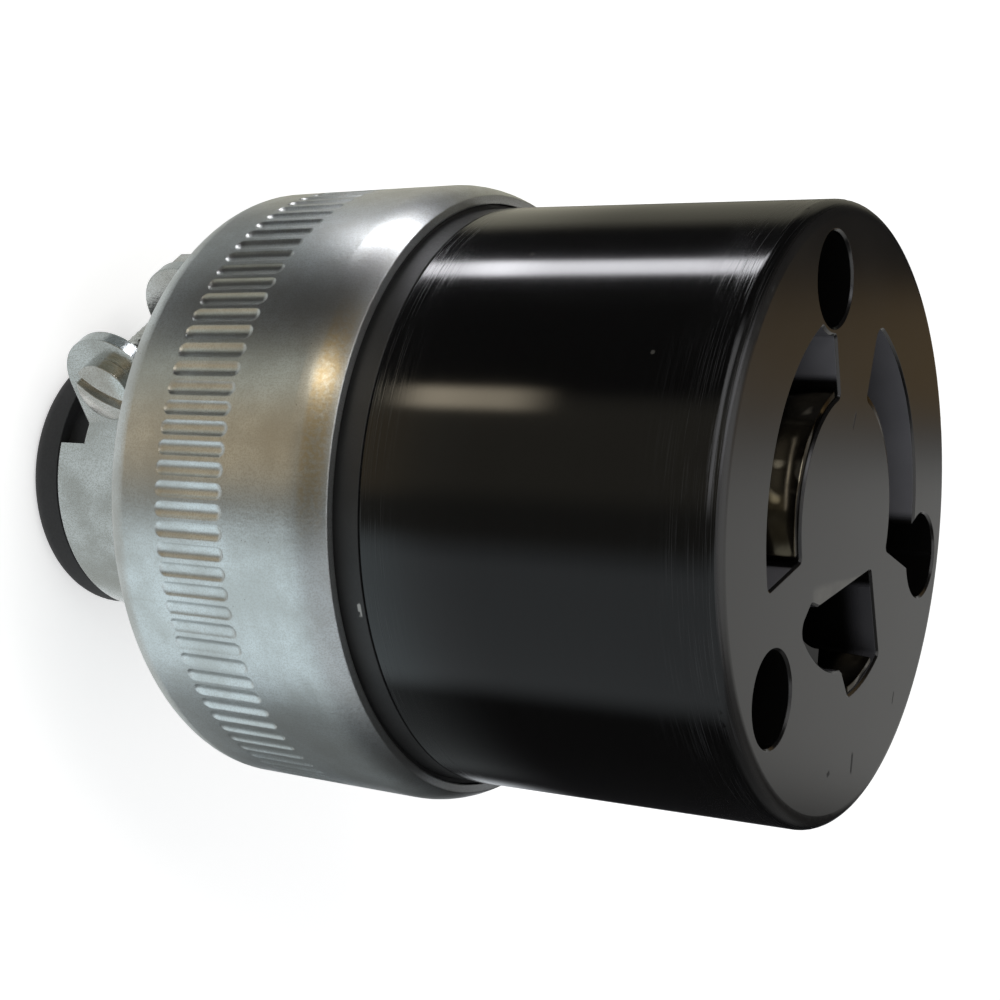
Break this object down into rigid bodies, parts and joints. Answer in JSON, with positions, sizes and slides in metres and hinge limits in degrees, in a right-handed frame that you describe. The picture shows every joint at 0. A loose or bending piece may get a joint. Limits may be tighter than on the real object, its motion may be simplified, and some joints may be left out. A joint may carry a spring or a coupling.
{
  "type": "locking grounded socket connector",
  "caption": "Black twist-lock grounded cord socket with curved slots in its face, a grooved zinc-plated steel shell and a two-piece screw clamp at the cord end.",
  "frame": {"origin": "on the mating axis at the end of the cord grommet, on which the part stands", "axes": "+Z along the mating axis out of the socket face; +Y points from the axis to the clock-zero mark between the two curved slots, opposite the ground slot"},
  "size_m": [0.0428, 0.0428, 0.0605],
  "materials": {
    "body_phenolic": "polished black moulding with fine turning marks",
    "retainer_phenolic": "dark brown moulding",
    "insulator_black": "dull black moulding",
    "shell_zinc": "worn zinc plate, satin",
    "clamp_zinc": "zinc plate, satin, slightly stained",
    "screw_steel": "zinc plate, satin",
    "contact_brass": "worn brass strip",
    "screw_brass": "turned brass",
    "screw_nickel": "nickel plate",
    "screw_green": "green lacquer",
    "grommet_rubber": "matt black"
  },
  "bodies": {
    "root": {"front_body": "body_phenolic", "contact_retainer": "retainer_phenolic", "neutral_contact": "contact_brass", "line_contact": "contact_brass", "ground_contact": "contact_brass", "neutral_terminal_screw": "screw_nickel", "line_terminal_screw": "screw_brass", "ground_terminal_screw": "screw_green", "bonding_strip": "contact_brass", "steel_shell": "shell_zinc", "rear_insulator": "insulator_black", "assembly_screws": "screw_steel", "assembly_inserts": "screw_brass", "cord_grommet": "grommet_rubber", "clamp_half_near": "clamp_zinc", "clamp_half_far": "clamp_zinc", "clamp_screws": "screw_steel", "clamp_nuts": "screw_steel"}
  },
  "joints": []
}
